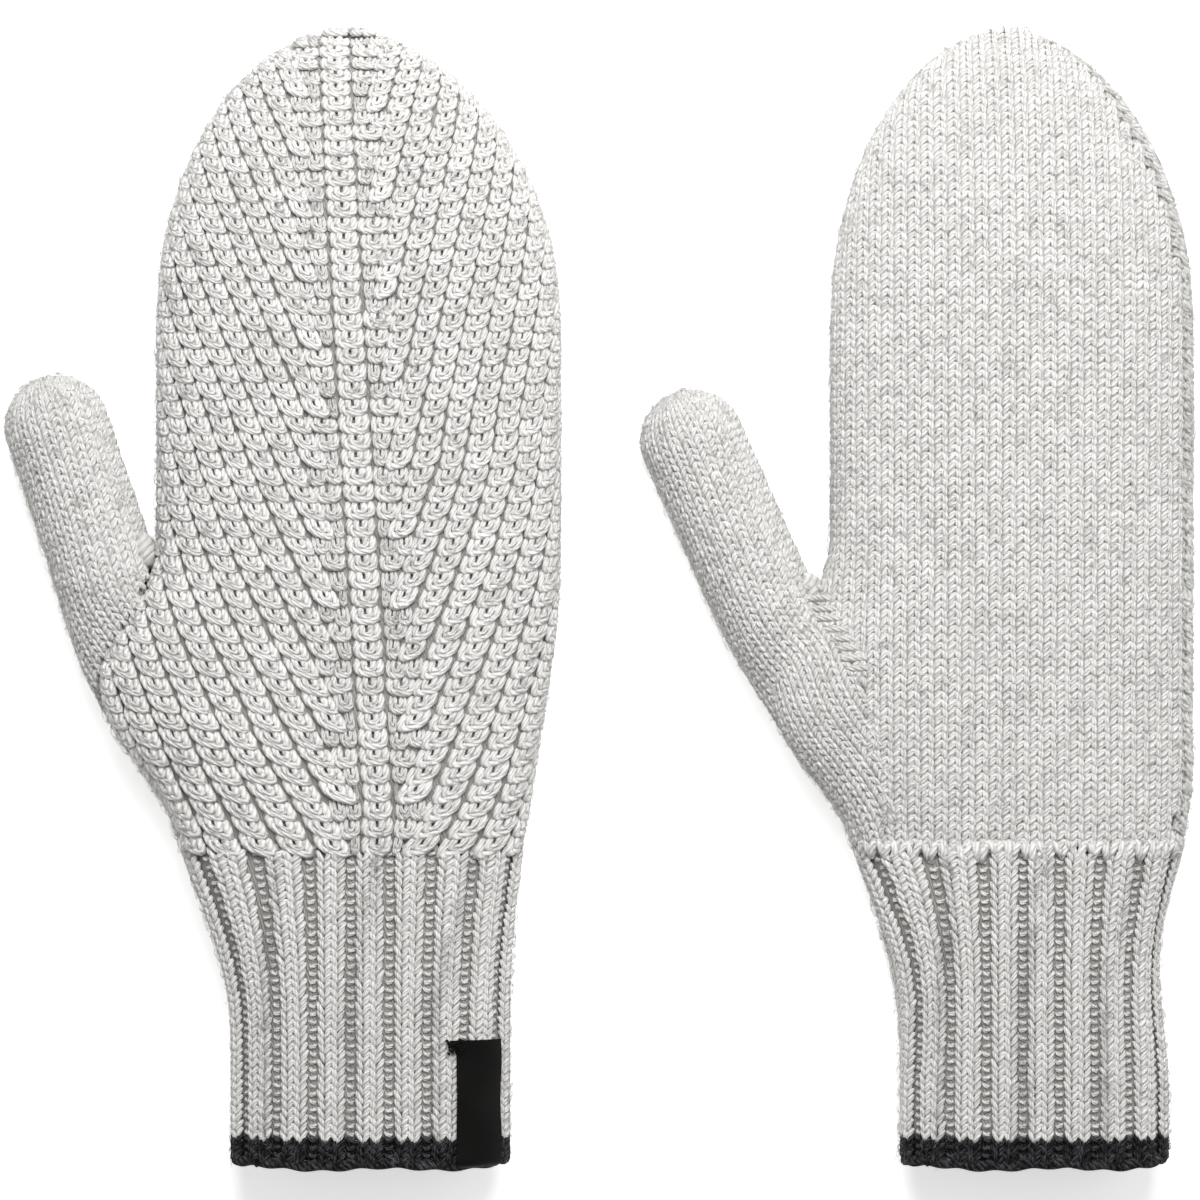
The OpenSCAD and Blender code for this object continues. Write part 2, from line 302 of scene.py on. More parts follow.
class Sleeve(Surface):
    """The thumb and the gusset below it: s runs along the outline, q inward over each side."""

    def __init__(self, skin):
        self.skin = skin
        hand = skin.hand
        tube, tip = points_of(f"{hand}_thumb"), points_of(f"{hand}_thumb_tip")
        tube, tip = tube - skin.mouth, tip - skin.mouth
        along = unit((tip.mean(0) - tube.mean(0)) * [1, 1, 0])
        across = np.array([along[1], -along[0], 0])
        centre = tube.mean(0)
        self.width = np.ptp((tube - centre) @ across)
        self.thick = np.ptp(tube[:, 2])
        self.z_thumb = (tube[:, 2].max() + tube[:, 2].min()) / 2
        self.root = centre + along * ((tube - centre) @ along).min()
        self.root[2] = self.z_thumb
        self.length = ((tip - self.root) @ along).max()
        self.along, self.across = along, across
        self.columns = round((math.pi * (self.width + self.thick) / 4) / WALE)
        self.lay_out()

    def outline(self):
        """The thumb-side outline, from the top of the cuff to where the thumb rounds off."""
        skin = self.skin
        y = np.arange(SLEEVE_START, 106.0, 1.0)
        s = skin.s_of(y)
        x = np.interp(s, skin.s, skin.x_middle - skin.width)
        lower = np.stack([x, y], 1)
        start = lower[-1]
        leave = unit(lower[-1] - lower[-6])
        end = (self.root - self.across * self.width / 2 + self.along * 4)[:2]
        arrive = self.along[:2]
        reach = np.linalg.norm(end - start)
        t = np.linspace(0, 1, 40)[1:, None]
        curve = (
            start * (1 - t) ** 3
            + 3 * (start + leave * reach * 0.36) * t * (1 - t) ** 2
            + 3 * (end - arrive * reach * 0.36) * t**2 * (1 - t)
            + end * t**3
        )
        straight = self.length - self.width / 2 - 4
        t = np.linspace(0, 1, 40)[1:, None]
        upper = end + arrive * straight * t
        return np.concatenate([lower, curve, upper])

    def lay_out(self):
        """Fills the table: below the crotch the section is the hand's and the thumb's together."""
        path = self.outline()
        run = np.concatenate([[0], np.cumsum(np.linalg.norm(np.diff(path, axis=0), axis=1))])
        straight_end = run[-1]
        radius = self.width / 2
        self.s = np.arange(0, straight_end + radius * SLEEVE_TURN, 1.0)
        x = np.interp(self.s, run, path[:, 0])
        y = np.interp(self.s, run, path[:, 1])
        for _ in range(12):
            x[1:-1] = (x[:-2] + 2 * x[1:-1] + x[2:]) / 4
            y[1:-1] = (y[:-2] + 2 * y[1:-1] + y[2:]) / 4
        heading = unit(np.stack([np.gradient(x), np.gradient(y)], 1))
        on_thumb = smooth((self.s - straight_end + 40) / 25)[:, None]
        heading = unit(heading * (1 - on_thumb) + self.along[:2] * on_thumb)
        inward = np.stack([heading[:, 1], -heading[:, 0]], 1)
        self.turn = np.clip((self.s - straight_end) / radius, 0, SLEEVE_TURN)
        q = np.arange(-self.columns * WALE, self.columns * WALE + 0.01, WALE / 6)
        table = np.zeros((len(self.s), len(q), 3))
        half_turn = np.linspace(0, math.pi, 240)
        thumb_d = radius * (1 - np.cos(half_turn))
        far = np.linspace(self.width, 62, 50)[1:]
        self.origin = np.stack([x, y], 1)
        root_s = self.s_near(*self.root_outline())
        open_s = self.s[np.abs(y - ROOT[self.skin.hand][0]).argmin()]
        palm_sign = 1 if self.skin.hand == "left" else -1
        for i, s in enumerate(self.s):
            shrink = math.cos(self.turn[i])
            if self.turn[i] > 0:
                centre = path[-1] + self.along[:2] * radius * math.sin(self.turn[i])
                centre = centre + self.across[:2] * radius * (1 - shrink)
                origin, direction = centre, self.across[:2]
            else:
                origin, direction = self.origin[i], inward[i]
            self.origin[i] = origin
            merge = smooth((s - root_s + 46) / 40)
            apart = smooth((s - open_s + 8) / 6)
            below = s < root_s + 6
            d = np.concatenate([thumb_d * shrink, far]) if below else thumb_d * shrink
            px = origin[0] + direction[0] * d
            py = origin[1] + direction[1] * d
            thumb = np.zeros(len(d))
            ring = self.thick / 2 * shrink * np.sin(half_turn)
            thumb[: len(half_turn)] = ring
            middle = self.skin.z_middle[int(self.skin.s_of(100.0))]
            z_middle = middle + (self.z_thumb - middle) * merge
            sides = []
            for sign in (1, -1):
                rise = thumb * merge
                if below:
                    hand, plane = self.skin.height(px, py)
                    hand = np.maximum(hand + sign * (plane - z_middle), 0) * (hand > 0)
                    if sign != palm_sign:
                        hand = hand * (1 - apart)
                    rise = (rise**6 + hand**6) ** (1 / 6)
                z = z_middle + sign * rise
                z[0] = z_middle
                length = np.concatenate([[0], np.cumsum(np.hypot(np.diff(d), np.diff(z)))])
                if below:
                    places = np.arange(0, self.columns + 0.01, 1 / 6) * WALE
                else:
                    places = np.linspace(0, length[-1], self.columns * 6 + 1)
                side = np.stack(
                    [np.interp(places, length, px), np.interp(places, length, py),
                     np.interp(places, length, z)], 1)
                sides.append(side)
            table[i, self.columns * 6:] = sides[0]
            table[i, : self.columns * 6 + 1] = sides[1][::-1]
        table += self.skin.mouth
        self.tabulate(table, 1.0, q[0], WALE / 6)

    def root_outline(self):
        """Where the straight thumb begins, on its outline."""
        start = self.root - self.across * self.width / 2
        return start[0], start[1]

    def s_near(self, x, y):
        """How far along the outline this place is."""
        return self.s[np.hypot(self.origin[:, 0] - x, self.origin[:, 1] - y).argmin()]


SKINS = {hand: Skin(hand) for hand in HANDS}
SLEEVES = {hand: Sleeve(SKINS[hand]) for hand in HANDS}


def side_of(line, x, y):
    """How far right of a line, going up it, these places are."""
    line = np.array(line)
    return x - np.interp(y, line[:, 1], line[:, 0])


# ---------------------------------------------------------------------------------------------
# Strands and stitches: places are given across the knitting, up it, and outward from it


def strand(path, radius, sides=5):
    """A closed length of yarn along a path: corners, triangles, and yarn places of each corner."""
    path = np.asarray(path, float)
    count = len(path)
    radius = np.broadcast_to(radius, count)[:, None, None]
    tangent = unit(np.gradient(path, axis=0))
    side = unit(np.cross(tangent, [0.0, 0.0, 1.0]))
    up = np.cross(side, tangent)
    turn = np.arange(sides) * FULL_TURN / sides
    spread = np.cos(turn)[None, :, None] * side[:, None]
    rings = path[:, None] + radius * (spread + np.sin(turn)[None, :, None] * up[:, None])
    ends = [path[0] - tangent[0] * radius[0, 0] * 0.7,
            path[-1] + tangent[-1] * radius[-1, 0] * 0.7]
    co = np.concatenate([rings.reshape(-1, 3), ends])
    run = np.concatenate([[0], np.cumsum(np.linalg.norm(np.diff(path, axis=0), axis=1))])
    triangles, yarn = [], []
    for i in range(count - 1):
        for j in range(sides):
            k = (j + 1) % sides
            a, b, c, d = i * sides + j, (i + 1) * sides + j, (i + 1) * sides + k, i * sides + k
            u0, u1, v0, v1 = run[i], run[i + 1], j / sides, (j + 1) / sides
            triangles += [(a, b, c), (a, c, d)]
            yarn += [((u0, v0), (u1, v0), (u1, v1)), ((u0, v0), (u1, v1), (u0, v1))]
    first, last, top = count * sides, count * sides + 1, (count - 1) * sides
    for j in range(sides):
        k = (j + 1) % sides
        v0, v1 = j / sides, (j + 1) / sides
        triangles += [(first, j, k), (last, top + k, top + j)]
        yarn += [((-0.4, v0), (0, v0), (0, v1)),
                 ((run[-1] + 0.4, v0), (run[-1], v1), (run[-1], v0))]
    return co, np.array(triangles), np.array(yarn)


def together(*strands):
    """Several strands as one stitch."""
    co, triangles, yarn, start = [], [], [], 0
    for k, (c, t, y) in enumerate(strands):
        co.append(c)
        triangles.append(t + start)
        yarn.append(y + [k * 7.3, 0])
        start += len(c)
    return np.concatenate(co), np.concatenate(triangles), np.concatenate(yarn)


# Half of an arch of plain knitting, in wales and rows, and the yarn's radius along it
ARCH = ((0.0, 0.5, -1.0), (0.155, 0.36, -0.82), (0.32, -0.22, -0.86), (0.44, -0.95, -1.7))
ARCH_RADIUS = (0.66, 0.83, 0.86, 0.62)


def mirrored(half, scale):
    """A path that runs from the left foot over the middle to the right foot."""
    path = [(-x, y, z) for x, y, z in half[:0:-1]] + list(half)
    return np.array(path) * scale


def plain_stitch():
    """One arch of plain knitting, one wale wide, whose feet go behind the row below."""
    radius = ARCH_RADIUS[:0:-1] + ARCH_RADIUS
    return strand(mirrored(ARCH, [WALE, ROW, 1]), radius, 5)


def rib_leg(side):
    """The outer leg of a rib's V, leaning in towards its foot."""
    leg = [(0.92, 0.74, -1.5), (0.8, 0.3, -0.98), (0.63, -0.3, -0.95), (0.5, -0.9, -1.9)]
    return strand(np.array(leg) * [WALE * side, CUFF_ROW, 1], (0.5, 0.66, 0.66, 0.5), 5)


def purl_bump(side):
    """The short bar that shows between two ribs."""
    path = [(-1.15, 0.55, -2.6), (-0.45, 0.0, -1.95), (0.35, -0.25, -1.95), (0.95, 0.3, -2.6)]
    return strand(np.array(path) * [side, 1, 1], (0.4, 0.56, 0.56, 0.4), 5)


def fisherman_cup():
    """One deep double loop of the back panels, one millimetre of pitch wide."""
    outer = ((0.0, -1.6, -0.85), (0.2, -1.5, -0.9), (0.35, -0.75, -1.2), (0.365, 0.6, -1.05),
             (0.33, 2.5, -1.9))
    inner = ((0.0, -0.35, -0.8), (0.1, -0.25, -0.85), (0.145, 0.4, -0.9), (0.15, 1.4, -1.0),
             (0.14, 2.6, -1.9))
    strands = []
    for half, size in ((outer, 0.98), (inner, 0.9)):
        radius = size * np.array([0.75, 1, 1, 1, 0.96, 1, 1, 1, 0.75])
        strands.append(strand(mirrored(half, [7.0, 1, 1]), radius, 5))
    co, triangles, yarn = together(*strands)
    return co / [7.0, 1, 1], triangles, yarn


class Knit:
    """Gathers stitches and cloth into one mesh; its seed fixes every random draw in it."""

    def __init__(self, seed):
        self.random = np.random.default_rng(seed)
        self.co, self.triangles, self.yarn, self.tone = [], [], [], []
        self.count = 0

    def add(self, co, triangles, yarn, tone):
        """Takes in corners, triangles, and the yarn place and tone of each corner."""
        self.co.append(co)
        self.triangles.append(triangles + self.count)
        self.yarn.append(yarn)
        self.tone.append(tone)
        self.count += len(co)

    def stitches(self, surface, stitch, s, q, wide=1.0, tall=1.0, slant=0.0, lift=0.0, tone=1.0,
                 tilt=0.0, wobble=0.035, flip=False):
        """Lays a copy of a stitch at every s, q."""
        co, triangles, yarn = stitch
        n = len(s)
        if n == 0:
            return
        rnd = self.random
        wide, tall, slant, lift, tone, tilt = [
            np.broadcast_to(v, n)[:, None].astype(float)
            for v in (wide, tall, slant, lift, tone, tilt)]
        size = 1 + wobble * rnd.standard_normal((n, 1))
        u = co[None, :, 0] * wide * size
        v = co[None, :, 1] * tall * (1 + wobble * rnd.standard_normal((n, 1)))
        turn = wobble * rnd.standard_normal((n, 1)) * 1.2
        level = u
        u = u + (turn + slant) * v
        v = v + (tilt - turn) * level
        h = co[None, :, 2] + lift + np.minimum(0, wobble * 1.6 * rnd.standard_normal((n, 1)) - 0.05)
        v = np.minimum(v, surface.s[-1] - 0.9 - s[:, None])
        place_s = s[:, None] + v + wobble * 1.2 * rnd.standard_normal((n, 1))
        place_q = q[:, None] + u + wobble * 1.2 * rnd.standard_normal((n, 1))
        places = surface.at(place_s, place_q, h, flip)
        order = triangles[:, ::-1] if flip else triangles
        corners = yarn[:, ::-1] if flip else yarn
        all_triangles = order[None] + (np.arange(n) * len(co))[:, None, None]
        shift = np.stack([rnd.uniform(0, 400, n), np.zeros(n)], 1)
        all_yarn = corners[None] + shift[:, None, None, :]
        # Tone of each stitch with a little random spread; the tone also holds painted shade and
        # painted light where the callers set it
        tone_and_shade = np.repeat(tone + 0.07 * rnd.standard_normal((n, 1)), len(co), 1)
        self.add(places.reshape(-1, 3), all_triangles.reshape(-1, 3),
                 all_yarn.reshape(-1, 3, 2), tone_and_shade.reshape(-1))

    def fuzz(self, surface, s, q, count, flip=False):
        """Stray fibres that stand off the yarn near these places."""
        rnd = self.random
        path = [(-1.3, 0.0, -0.4), (-0.4, 0.25, 0.35), (0.5, -0.1, 0.55), (1.3, 0.25, -0.1)]
        hair = strand(np.array(path), (0.035, 0.045, 0.04, 0.02), 3)
        pick = rnd.integers(0, len(s), count)
        self.stitches(surface, hair, s[pick] + rnd.uniform(-2, 2, count),
                      q[pick] + rnd.uniform(-1.6, 1.6, count),
                      wide=rnd.uniform(0.4, 1.3, count) * rnd.choice([-1, 1], count),
                      slant=rnd.uniform(-1.5, 1.5, count), lift=rnd.uniform(-0.5, 0.25, count),
                      tilt=rnd.uniform(-1.6, 1.6, count), flip=flip)

    def cloth(self, surface, s, q_low, q_high, kind, flip=False, across=24):
        """A closed sheet between two q lines, behind the stitches, darkened by its tone as painted
        shade.
        """
        share = np.linspace(0, 1, across + 1)
        q = q_low[:, None] + (q_high - q_low)[:, None] * share[None]
        grid_s = np.broadcast_to(np.asarray(s, float)[:, None], q.shape)
        self.sheet(surface, grid_s, q, np.ones((len(s) - 1, across), bool), kind, flip)

    def sheet(self, surface, s, q, used, kind, flip=False):
        """A closed sheet over the used cells of a grid of places, behind the stitches, darkened by
        its tone as painted shade.
        """
        outer, inner, tone = kind
        faces = [surface.at(s, q, np.full(s.shape, depth), flip) for depth in (outer, inner)]
        rows, columns = s.shape
        under = rows * columns
        cell = np.argwhere(used)
        a = cell[:, 0] * columns + cell[:, 1]
        quads = [np.stack([a, a + 1, a + columns + 1, a + columns], 1),
                 np.stack([a, a + columns, a + columns + 1, a + 1], 1) + under]
        padded = np.pad(used, 1)
        for di, dj, first, second in ((-1, 0, 0, 1), (1, 0, columns + 1, columns),
                                      (0, -1, columns, 0), (0, 1, 1, columns + 1)):
            b = a[~padded[cell[:, 0] + 1 + di, cell[:, 1] + 1 + dj]]
            rim = np.stack([b + first, b + first + under, b + second + under, b + second], 1)
            quads.append(rim)
        quads = np.concatenate(quads)
        if flip:
            quads = quads[:, ::-1]
        triangles = np.concatenate([quads[:, [0, 1, 2]], quads[:, [0, 2, 3]]])
        places = np.concatenate(faces).reshape(-1, 3)
        flat = np.concatenate([np.stack([s, q * 0.3], 2).reshape(-1, 2)] * 2)
        kept, renumbered = np.unique(triangles, return_inverse=True)
        self.add(places[kept], renumbered.reshape(triangles.shape), flat[triangles],
                 np.full(len(kept), tone))

    def tube(self, path, radius, sides=6, tone=1.0):
        """A length of yarn along a free path."""
        co, triangles, yarn = strand(path, radius, sides)
        self.add(co, triangles, yarn + [self.random.uniform(0, 300), 0], np.full(len(co), tone))

    def make(self, name, material):
        """The finished mesh object."""
        co = np.concatenate(self.co) * MM
        triangles = np.concatenate(self.triangles)
        yarn = np.concatenate(self.yarn)
        mesh = bpy.data.meshes.new(name)
        mesh.vertices.add(len(co))
        mesh.vertices.foreach_set("co", co.astype(np.float32).ravel())
        mesh.loops.add(len(triangles) * 3)
        mesh.loops.foreach_set("vertex_index", triangles.astype(np.int32).ravel())
        mesh.polygons.add(len(triangles))
        mesh.polygons.foreach_set("loop_start", np.arange(len(triangles), dtype=np.int32) * 3)
        mesh.polygons.foreach_set("use_smooth", np.ones(len(triangles), bool))
        mesh.update(calc_edges=True)
        layer = mesh.uv_layers.new(name="yarn")
        layer.data.foreach_set("uv", yarn.astype(np.float32).ravel())
        tone = mesh.attributes.new("tone", "FLOAT", "POINT")
        tone.data.foreach_set("value", np.concatenate(self.tone).astype(np.float32))
        mesh.materials.append(material)
        piece = bpy.data.objects.new(name, mesh)
        bpy.context.scene.collection.objects.link(piece)
        return piece


# ---------------------------------------------------------------------------------------------
# Materials


def set_inputs(node, values):
    """Sets sockets of a node by name or number."""
    for socket, value in values.items():
        node.inputs[socket].default_value = value


def yarn_group():
    """A shader group that twists plies along a strand and flecks them light and dark."""
    name = "Marled yarn"
    if name in bpy.data.node_groups:
        return bpy.data.node_groups[name]
    group = bpy.data.node_groups.new(name, "ShaderNodeTree")
    socket = group.interface.new_socket
    for label in ("Light", "Dark"):
        socket(label, in_out="INPUT", socket_type="NodeSocketColor")
    for label, default in (("Fleck", 0.5), ("Twist", 1.9), ("Shade", 0.5)):
        socket(label, in_out="INPUT", socket_type="NodeSocketFloat").default_value = default
    socket("Colour", in_out="OUTPUT", socket_type="NodeSocketColor")
    socket("Height", in_out="OUTPUT", socket_type="NodeSocketFloat")
    nodes, link = group.nodes, group.links.new
    inputs, outputs = nodes.new("NodeGroupInput"), nodes.new("NodeGroupOutput")

    def math_node(operation, a, b=None, clamp=False):
        node = nodes.new("ShaderNodeMath")
        node.operation = operation
        node.use_clamp = clamp
        for k, value in enumerate((a, b)):
            if value is None:
                continue
            if isinstance(value, (int, float)):
                node.inputs[k].default_value = value
            else:
                link(value, node.inputs[k])
        return node.outputs[0]

    uv = nodes.new("ShaderNodeUVMap")
    uv.uv_map = "yarn"
    split = nodes.new("ShaderNodeSeparateXYZ")
    link(uv.outputs[0], split.inputs[0])
    along, around = split.outputs[0], split.outputs[1]
    # Plies: stripes that wind round the strand
    phase = math_node("ADD", math_node("MULTIPLY", along, inputs.outputs["Twist"]),
                      math_node("MULTIPLY", around, FULL_TURN * 2))
    plies = math_node("ABSOLUTE", math_node("SINE", phase))
    # Fibres: fine streaks that follow the twist
    place = nodes.new("ShaderNodeCombineXYZ")
    link(math_node("MULTIPLY", along, 0.55), place.inputs[0])
    link(math_node("ADD", math_node("MULTIPLY", around, 9.0),
                   math_node("MULTIPLY", along, 1.6)), place.inputs[1])
    streaks = nodes.new("ShaderNodeTexNoise")
    set_inputs(streaks, {"Scale": 1.7, "Detail": 3.0, "Roughness": 0.7})
    link(place.outputs[0], streaks.inputs["Vector"])
    # Marl: lengths of lighter and darker wool, in the space of the object
    where = nodes.new("ShaderNodeTexCoord")
    marl = nodes.new("ShaderNodeTexNoise")
    set_inputs(marl, {"Scale": 420.0, "Detail": 3.0, "Roughness": 0.65})
    link(where.outputs["Object"], marl.inputs["Vector"])
    # The tone attribute: random tone from stitch to stitch, painted shade (negative on the cloth,
    # low on tucked stitches) and painted light (raised on the new ribs of the back)
    tone = nodes.new("ShaderNodeAttribute")
    tone.attribute_name = "tone"
    fleck = math_node("MULTIPLY", math_node("SUBTRACT", streaks.outputs["Fac"], 0.5), 2.6)
    cloud = math_node("MULTIPLY", math_node("SUBTRACT", marl.outputs["Fac"], 0.5), 1.6)
    mixed = math_node("MULTIPLY", math_node("ADD", fleck, cloud), inputs.outputs["Fleck"])
    # Painted shade in the grooves between the plies and painted light on their crowns, following
    # the same stripes as the bump
    ply_groove_shade = math_node("MULTIPLY", math_node("SUBTRACT", plies, 0.6), 0.4)
    share = math_node("ADD", math_node("ADD", mixed, ply_groove_shade),
                      math_node("MULTIPLY", tone.outputs["Fac"], inputs.outputs["Shade"]), True)
    blend = nodes.new("ShaderNodeMix")
    blend.data_type = "RGBA"
    link(share, blend.inputs["Factor"])
    link(inputs.outputs["Dark"], blend.inputs["A"])
    link(inputs.outputs["Light"], blend.inputs["B"])
    # Cloth behind the stitches has a negative tone and darkens: painted shade in the gaps between
    # stitches
    depth = math_node("ADD", tone.outputs["Fac"], 1.0, True)
    shaded = nodes.new("ShaderNodeMix")
    shaded.data_type = "RGBA"
    shaded.blend_type = "MULTIPLY"
    shaded.inputs["Factor"].default_value = 1.0
    link(blend.outputs["Result"], shaded.inputs["A"])
    link(depth, shaded.inputs["B"])
    link(shaded.outputs["Result"], outputs.inputs["Colour"])
    height = math_node("ADD", plies, math_node("MULTIPLY", streaks.outputs["Fac"], 1.1))
    link(height, outputs.inputs["Height"])
    return group


def wool(name, light, dark, fleck=0.5, twist=1.9, shade=0.62, sheen=0.4):
    """A wool finish."""
    material = bpy.data.materials.new(name)
    material.use_nodes = True
    nodes, link = material.node_tree.nodes, material.node_tree.links.new
    principled = nodes["Principled BSDF"]
    yarn = nodes.new("ShaderNodeGroup")
    yarn.node_tree = yarn_group()
    set_inputs(yarn, {"Light": (*light, 1), "Dark": (*dark, 1), "Fleck": fleck, "Twist": twist,
                      "Shade": shade})
    link(yarn.outputs["Colour"], principled.inputs["Base Color"])
    raised = nodes.new("ShaderNodeBump")
    set_inputs(raised, {"Strength": 0.8, "Distance": 0.5 * MM})
    link(yarn.outputs["Height"], raised.inputs["Height"])
    link(raised.outputs[0], principled.inputs["Normal"])
    set_inputs(principled, {
        "Subsurface Weight": 0.35, "Subsurface Scale": 1.6 * MM,
        "Subsurface Radius": (1.0, 0.95, 0.9), "Roughness": 0.92, "Specular IOR Level": 0.15,
        "Sheen Weight": sheen, "Sheen Roughness": 0.55, "Sheen Tint": (*light, 1)})
    return material


def satin():
    """The label's woven satin."""
    material = bpy.data.materials.new("Label satin")
    material.use_nodes = True
    nodes, link = material.node_tree.nodes, material.node_tree.links.new
    principled = nodes["Principled BSDF"]
    uv = nodes.new("ShaderNodeUVMap")
    weave = nodes.new("ShaderNodeTexWave")
    weave.bands_direction = "X"
    set_inputs(weave, {"Scale": 26, "Distortion": 0.6, "Detail": 2})
    slubs = nodes.new("ShaderNodeTexNoise")
    set_inputs(slubs, {"Scale": 60, "Detail": 4})
    link(uv.outputs[0], weave.inputs["Vector"])
    link(uv.outputs[0], slubs.inputs["Vector"])
    tint = nodes.new("ShaderNodeMix")
    tint.data_type = "RGBA"
    colour = bpy.context.scene.mittens.label_colour
    set_inputs(tint, {"A": (*colour, 1), "B": (*[c * 2.0 for c in colour], 1)})
    link(slubs.outputs["Fac"], tint.inputs["Factor"])
    link(tint.outputs["Result"], principled.inputs["Base Color"])
    raised = nodes.new("ShaderNodeBump")
    set_inputs(raised, {"Strength": 0.35, "Distance": 0.2 * MM})
    link(weave.outputs["Fac"], raised.inputs["Height"])
    link(raised.outputs[0], principled.inputs["Normal"])
    set_inputs(principled, {"Roughness": 0.5, "Anisotropic": 0.4, "Specular IOR Level": 0.06})
    return material


def finish_named(name):
    """One of the wool finishes, made the first time it is asked for."""
    if name in bpy.data.materials:
        return bpy.data.materials[name]
    colours = bpy.context.scene.mittens
    pale, grey, dark = colours.pale_wool, colours.grey_wool, colours.dark_wool
    if name == "Charcoal wool":
        return wool(name, [c * 2.0 for c in dark], [c * 0.04 for c in dark], 1.0, 1.9, 0.16, 0.06)
    if name == "Label thread":
        return wool(name, [c * 3 for c in colours.label_colour], colours.label_colour, 0.4)
    if name == "Seam yarn":
        return wool(name, [c * 0.9 for c in pale], grey, 0.5, 1.9, 0.6)
    if name == "Ribbed wool":
        return wool(name, pale, grey, 0.4, 1.5, 0.66)
    return wool(name, pale, grey, 0.38, 1.9, 0.66)


# ---------------------------------------------------------------------------------------------
# The pieces


def setting(name):
    """A size the user may change, in millimetres."""
    return getattr(bpy.context.scene.mittens, name) / MM


def body_blend(piece):
    """Bakes a piece's placement into its mesh."""
    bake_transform(piece)


def panel_edges(hand, s, back):
    """q of both edges of the palm or the back, up the hand."""
    skin = SKINS[hand]
    left, right = skin.edges(s)
    y = np.interp(s, skin.s, skin.y)
    wrap = setting("back_wrap") * smooth((skin.s[-1] - s) / 30)
    if back:
        at_thumb = smooth((y - ROOT[hand][0]) / 5) * smooth((ROOT[hand][1] - y) / 5)
        return left - 1.0 + 2.2 * at_thumb, right + wrap - 0.4
    low = left + 1.0
    line = np.array(FORK[hand])
    inside = (y >= line[0, 1]) & (y <= line[-1, 1])
    if inside.any():
        x = np.interp(y[inside], line[:, 1], line[:, 0])
        low[inside] = np.maximum(low[inside], skin.q_of(s[inside], x) - 0.9)
    return low, right - wrap - 0.4


def halves(skin):
    """The lower and the upper part of the hand, which meet at the knuckles."""
    bottom, fold = float(skin.s_of(WRIST)), float(skin.s_of(KNUCKLES))
    top = float(skin.s[-1])
    return ("hand", bottom, fold), ("fingers", fold, top)


def palm(hand):
    """The palm, in plain knitting."""
    skin, flip = SKINS[hand], hand == "right"
    top = skin.s[-1]
    s_rows = np.arange(skin.s_of(WRIST), top - 1.6, ROW)
    low, high = panel_edges(hand, s_rows, False)
    x_line = np.interp(s_rows, skin.s, skin.x_line)
    s_all, q_all = [], []
    for s, a, b, line in zip(s_rows, low, high, x_line):
        first = math.ceil((a + line) / WALE) * WALE - line
        columns = np.arange(first, b - 0.3 * WALE, WALE)
        q_all.append(columns)
        s_all.append(np.full(len(columns), s))
    s_all, q_all = np.concatenate(s_all), np.concatenate(q_all)
    drift = -np.gradient(skin.x_line)[np.round(s_all).astype(int)]
    lift = 0.9 * smooth((s_all - top + 8) / 6)
    for seed, (part, start, end) in enumerate(halves(skin)):
        knit = Knit(11 + 2 * seed + flip)
        on = (s_all >= start) & (s_all < end)
        knit.stitches(skin, plain_stitch(), s_all[on], q_all[on], slant=drift[on], flip=flip,
                      lift=lift[on])
        knit.fuzz(skin, s_all[on], q_all[on], FUZZ["plain"], flip)
        s_cloth = np.linspace(start, min(end, top - 0.6), 36)
        low, high = panel_edges(hand, s_cloth, False)
        knit.cloth(skin, s_cloth, low, high, PLAIN_CLOTH_SHADED, flip)
        piece = knit.make(f"{hand}_palm_{part}_knit", finish_named("Plain wool"))
        body_blend(piece)
        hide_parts(f"{hand}_palm_{part}")


def rib_pitch(y):
    """Width of a fan rib, which narrows towards the fingertips."""
    return float(np.interp(y, *RIB_PITCHES))


def loop_rows(skin):
    """Heights of the rows of loops, closer together towards the fingertips."""
    s, rows = float(skin.s_of(WRIST)) - 0.4, []
    while s < skin.s[-1] - 2.2:
        rows.append(s)
        s += float(np.interp(s, *LOOP_ROWS))
    return np.array(rows)


